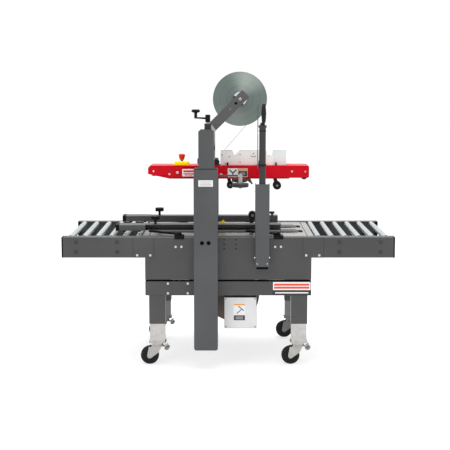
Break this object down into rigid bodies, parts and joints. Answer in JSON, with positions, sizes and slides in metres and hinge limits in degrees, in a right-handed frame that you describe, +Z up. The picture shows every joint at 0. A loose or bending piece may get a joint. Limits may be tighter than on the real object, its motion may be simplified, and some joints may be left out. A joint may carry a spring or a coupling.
{
  "type": "carton sealer machine",
  "caption": "Carton sealer on casters: roller conveyors, belt-driven bed with taping head and centring guides, and a red upper taping head with a tape roll, raised on columns by a crank.",
  "frame": {"origin": "on the floor under the middle of the machine, at the centre of its box", "axes": "+X runs with the cartons from infeed to exit, -Y is the operator's side, +Z is up"},
  "size_m": [1.84, 0.78, 1.635],
  "materials": {
    "painted_grey": "satin powder coat",
    "dark_grey_column": "satin powder coat",
    "red_cover": "gloss paint",
    "zinc": "zinc plated",
    "stainless": "brushed",
    "roller_zinc": "galvanised",
    "belt": "woven top rubber",
    "black_plastic": "matt",
    "white_plate": "light satin paint",
    "black_arm": "black oxide and rubber rollers",
    "tape_film": "wound clear film",
    "tape_film_dark": "wound tan film",
    "yellow_plastic": "gloss",
    "red_plastic": "gloss",
    "box_grey": "light grey paint",
    "wheel_rubber": "matt rubber tyre",
    "motor_grey": "grey enamel",
    "bright_bolt": "zinc plated"
  },
  "bodies": {
    "bed": {"side_panels": "painted_grey", "base_frame": "painted_grey", "inner_legs": "zinc", "bed_plates": "stainless", "conveyor_rails": "painted_grey", "end_caps_and_pivots": "black_plastic", "roller_axles": "zinc", "outer_columns": "dark_grey_column", "cable_guard": "dark_grey_column", "control_box": "box_grey", "lower_head_frame": "white_plate", "drive_belts": "belt", "gearmotor": "motor_grey", "bed_bolts": "bright_bolt"},
    "head": {"head_frame": "dark_grey_column", "head_covers": "red_cover", "upper_head_frame": "white_plate", "tape_arm": "painted_grey", "cable_conduit": "black_plastic", "estop_box": "yellow_plastic"},
    "crank": {"lead_screw": "zinc", "crank_arm": "black_plastic"},
    "crank_knob": {"crank_knob": "black_plastic"},
    "estop_button": {"estop_button": "red_plastic"},
    "upper_apply_arm": {"upper_apply_arm": "black_arm"},
    "upper_buff_arm": {"upper_buff_arm": "black_arm"},
    "lower_apply_arm": {"lower_apply_arm": "black_arm"},
    "lower_buff_arm": {"lower_buff_arm": "black_arm"},
    "upper_tape_roll": {"upper_tape_roll": "tape_film"},
    "lower_tape_roll": {"lower_tape_roll": "tape_film_dark"},
    "flap_roller_front": {"flap_roller_front": "motor_grey"},
    "flap_roller_rear": {"flap_roller_rear": "motor_grey"},
    "guide_arm_front_infeed": {"guide_arm_front_infeed": "black_plastic"},
    "guide_arm_front_exit": {"guide_arm_front_exit": "black_plastic"},
    "guide_front": {"guide_front": "painted_grey"},
    "guide_arm_rear_infeed": {"guide_arm_rear_infeed": "black_plastic"},
    "guide_arm_rear_exit": {"guide_arm_rear_exit": "black_plastic"},
    "guide_rear": {"guide_rear": "painted_grey"},
    "drive_pulleys": {"drive_pulleys": "zinc"},
    "idler_pulleys": {"idler_pulleys": "zinc"},
    "infeed_roller_1": {"infeed_roller_1": "roller_zinc"},
    "infeed_roller_2": {"infeed_roller_2": "roller_zinc"},
    "infeed_roller_3": {"infeed_roller_3": "roller_zinc"},
    "infeed_roller_4": {"infeed_roller_4": "roller_zinc"},
    "infeed_roller_5": {"infeed_roller_5": "roller_zinc"},
    "infeed_roller_6": {"infeed_roller_6": "roller_zinc"},
    "exit_roller_1": {"exit_roller_1": "roller_zinc"},
    "exit_roller_2": {"exit_roller_2": "roller_zinc"},
    "exit_roller_3": {"exit_roller_3": "roller_zinc"},
    "exit_roller_4": {"exit_roller_4": "roller_zinc"},
    "exit_roller_5": {"exit_roller_5": "roller_zinc"},
    "exit_roller_6": {"exit_roller_6": "roller_zinc"},
    "caster_fork_front_infeed": {"caster_fork_front_infeed": "zinc"},
    "caster_wheel_front_infeed": {"caster_wheel_front_infeed": "wheel_rubber"},
    "caster_fork_front_exit": {"caster_fork_front_exit": "zinc"},
    "caster_wheel_front_exit": {"caster_wheel_front_exit": "wheel_rubber"},
    "caster_fork_rear_infeed": {"caster_fork_rear_infeed": "zinc"},
    "caster_wheel_rear_infeed": {"caster_wheel_rear_infeed": "wheel_rubber"},
    "caster_fork_rear_exit": {"caster_fork_rear_exit": "zinc"},
    "caster_wheel_rear_exit": {"caster_wheel_rear_exit": "wheel_rubber"}
  },
  "joints": [
    {"name": "head_lift", "type": "slide", "parent": "bed", "child": "head", "axis": [0, 0, 1], "range_m": [-0.165, 0.32]},
    {"name": "crank_turn", "type": "hinge", "parent": "head", "child": "crank", "pos_m": [-0.111, -0.349, 1.38], "axis": [0, 0, 1], "continuous": true},
    {"name": "crank_knob_spin", "type": "hinge", "parent": "crank", "child": "crank_knob", "pos_m": [-0.176, -0.349, 1.41], "axis": [0, 0, 1], "continuous": true},
    {"name": "estop_press", "type": "slide", "parent": "head", "child": "estop_button", "axis": [0, 0, 1], "range_m": [-0.006, 0], "stiffness_N_per_m": 1500, "springref_m": 0.002},
    {"name": "upper_apply_swing", "type": "hinge", "parent": "head", "child": "upper_apply_arm", "pos_m": [-0.005, 0, 1.075], "axis": [0, 1, 0], "range_deg": [-50, 0], "stiffness_Nm_per_rad": 4, "springref_deg": 17.19},
    {"name": "upper_buff_swing", "type": "hinge", "parent": "head", "child": "upper_buff_arm", "pos_m": [0.254, 0, 1.082], "axis": [0, 1, 0], "range_deg": [-50, 0]},
    {"name": "lower_apply_swing", "type": "hinge", "parent": "bed", "child": "lower_apply_arm", "pos_m": [-0.15, 0, 0.692], "axis": [0, 1, 0], "range_deg": [0, 75], "stiffness_Nm_per_rad": 4, "springref_deg": -17.19},
    {"name": "lower_buff_swing", "type": "hinge", "parent": "bed", "child": "lower_buff_arm", "pos_m": [0.128, 0, 0.692], "axis": [0, 1, 0], "range_deg": [0, 75]},
    {"name": "upper_roll_spin", "type": "hinge", "parent": "head", "child": "upper_tape_roll", "pos_m": [0.068, 0, 1.48], "axis": [0, 1, 0], "continuous": true},
    {"name": "lower_roll_spin", "type": "hinge", "parent": "bed", "child": "lower_tape_roll", "pos_m": [0.028, 0, 0.334], "axis": [0, 1, 0], "continuous": true},
    {"name": "flap_spin_front", "type": "hinge", "parent": "head", "child": "flap_roller_front", "pos_m": [0.069, -0.14, 0.995], "axis": [0, 0, 1], "continuous": true},
    {"name": "flap_spin_rear", "type": "hinge", "parent": "head", "child": "flap_roller_rear", "pos_m": [0.069, 0.14, 0.995], "axis": [0, 0, 1], "continuous": true},
    {"name": "guide_arm_front_infeed_swing", "type": "hinge", "parent": "bed", "child": "guide_arm_front_infeed", "pos_m": [-0.27, -0.29, 0.739], "axis": [0, 0, -1], "range_deg": [-17, 42]},
    {"name": "guide_front_parallel", "type": "hinge", "parent": "guide_arm_front_infeed", "child": "guide_front", "pos_m": [-0.43537, -0.18667, 0.748], "axis": [0, 0, -1], "range_deg": [-42, 17]},
    {"name": "guide_arm_front_exit_swing", "type": "hinge", "parent": "bed", "child": "guide_arm_front_exit", "pos_m": [0.277, -0.29, 0.739], "axis": [0, 0, -1], "range_deg": [-17, 42]},
    {"name": "guide_arm_rear_infeed_swing", "type": "hinge", "parent": "bed", "child": "guide_arm_rear_infeed", "pos_m": [-0.27, 0.29, 0.739], "axis": [0, 0, 1], "range_deg": [-17, 42]},
    {"name": "guide_rear_parallel", "type": "hinge", "parent": "guide_arm_rear_infeed", "child": "guide_rear", "pos_m": [-0.43537, 0.18667, 0.748], "axis": [0, 0, 1], "range_deg": [-42, 17]},
    {"name": "guide_arm_rear_exit_swing", "type": "hinge", "parent": "bed", "child": "guide_arm_rear_exit", "pos_m": [0.277, 0.29, 0.739], "axis": [0, 0, 1], "range_deg": [-17, 42]},
    {"name": "drive_spin", "type": "hinge", "parent": "bed", "child": "drive_pulleys", "pos_m": [0.38, 0, 0.685], "axis": [0, 1, 0], "continuous": true},
    {"name": "idler_spin", "type": "hinge", "parent": "bed", "child": "idler_pulleys", "pos_m": [-0.38, 0, 0.685], "axis": [0, 1, 0], "continuous": true},
    {"name": "infeed_roller_1_spin", "type": "hinge", "parent": "bed", "child": "infeed_roller_1", "pos_m": [-0.502, 0, 0.713], "axis": [0, 1, 0], "continuous": true},
    {"name": "infeed_roller_2_spin", "type": "hinge", "parent": "bed", "child": "infeed_roller_2", "pos_m": [-0.577, 0, 0.713], "axis": [0, 1, 0], "continuous": true},
    {"name": "infeed_roller_3_spin", "type": "hinge", "parent": "bed", "child": "infeed_roller_3", "pos_m": [-0.652, 0, 0.713], "axis": [0, 1, 0], "continuous": true},
    {"name": "infeed_roller_4_spin", "type": "hinge", "parent": "bed", "child": "infeed_roller_4", "pos_m": [-0.727, 0, 0.713], "axis": [0, 1, 0], "continuous": true},
    {"name": "infeed_roller_5_spin", "type": "hinge", "parent": "bed", "child": "infeed_roller_5", "pos_m": [-0.802, 0, 0.713], "axis": [0, 1, 0], "continuous": true},
    {"name": "infeed_roller_6_spin", "type": "hinge", "parent": "bed", "child": "infeed_roller_6", "pos_m": [-0.877, 0, 0.713], "axis": [0, 1, 0], "continuous": true},
    {"name": "exit_roller_1_spin", "type": "hinge", "parent": "bed", "child": "exit_roller_1", "pos_m": [0.502, 0, 0.713], "axis": [0, 1, 0], "continuous": true},
    {"name": "exit_roller_2_spin", "type": "hinge", "parent": "bed", "child": "exit_roller_2", "pos_m": [0.577, 0, 0.713], "axis": [0, 1, 0], "continuous": true},
    {"name": "exit_roller_3_spin", "type": "hinge", "parent": "bed", "child": "exit_roller_3", "pos_m": [0.652, 0, 0.713], "axis": [0, 1, 0], "continuous": true},
    {"name": "exit_roller_4_spin", "type": "hinge", "parent": "bed", "child": "exit_roller_4", "pos_m": [0.727, 0, 0.713], "axis": [0, 1, 0], "continuous": true},
    {"name": "exit_roller_5_spin", "type": "hinge", "parent": "bed", "child": "exit_roller_5", "pos_m": [0.802, 0, 0.713], "axis": [0, 1, 0], "continuous": true},
    {"name": "exit_roller_6_spin", "type": "hinge", "parent": "bed", "child": "exit_roller_6", "pos_m": [0.877, 0, 0.713], "axis": [0, 1, 0], "continuous": true},
    {"name": "caster_swivel_front_infeed", "type": "hinge", "parent": "bed", "child": "caster_fork_front_infeed", "pos_m": [-0.395, -0.2738, 0.124], "axis": [0, 0, 1], "continuous": true},
    {"name": "caster_roll_front_infeed", "type": "hinge", "parent": "caster_fork_front_infeed", "child": "caster_wheel_front_infeed", "pos_m": [-0.44, -0.2738, 0.0508], "axis": [0, 1, 0], "continuous": true},
    {"name": "caster_swivel_front_exit", "type": "hinge", "parent": "bed", "child": "caster_fork_front_exit", "pos_m": [0.395, -0.2738, 0.124], "axis": [0, 0, 1], "continuous": true},
    {"name": "caster_roll_front_exit", "type": "hinge", "parent": "caster_fork_front_exit", "child": "caster_wheel_front_exit", "pos_m": [0.35, -0.2738, 0.0508], "axis": [0, 1, 0], "continuous": true},
    {"name": "caster_swivel_rear_infeed", "type": "hinge", "parent": "bed", "child": "caster_fork_rear_infeed", "pos_m": [-0.395, 0.2738, 0.124], "axis": [0, 0, 1], "continuous": true},
    {"name": "caster_roll_rear_infeed", "type": "hinge", "parent": "caster_fork_rear_infeed", "child": "caster_wheel_rear_infeed", "pos_m": [-0.44, 0.2738, 0.0508], "axis": [0, 1, 0], "continuous": true},
    {"name": "caster_swivel_rear_exit", "type": "hinge", "parent": "bed", "child": "caster_fork_rear_exit", "pos_m": [0.395, 0.2738, 0.124], "axis": [0, 0, 1], "continuous": true},
    {"name": "caster_roll_rear_exit", "type": "hinge", "parent": "caster_fork_rear_exit", "child": "caster_wheel_rear_exit", "pos_m": [0.35, 0.2738, 0.0508], "axis": [0, 1, 0], "continuous": true}
  ],
  "couplings": [
    {"joint": "crank_turn", "follows": "head_lift", "rad_per_m": 628.32},
    {"joint": "upper_buff_swing", "follows": "upper_apply_swing", "ratio": 1},
    {"joint": "lower_buff_swing", "follows": "lower_apply_swing", "ratio": 1},
    {"joint": "idler_spin", "follows": "drive_spin", "ratio": 1},
    {"joint": "guide_front_parallel", "follows": "guide_arm_front_infeed_swing", "ratio": -1},
    {"joint": "guide_arm_front_exit_swing", "follows": "guide_arm_front_infeed_swing", "ratio": 1},
    {"joint": "guide_arm_rear_infeed_swing", "follows": "guide_arm_front_infeed_swing", "ratio": 1},
    {"joint": "guide_rear_parallel", "follows": "guide_arm_front_infeed_swing", "ratio": -1},
    {"joint": "guide_arm_rear_exit_swing", "follows": "guide_arm_front_infeed_swing", "ratio": 1}
  ]
}
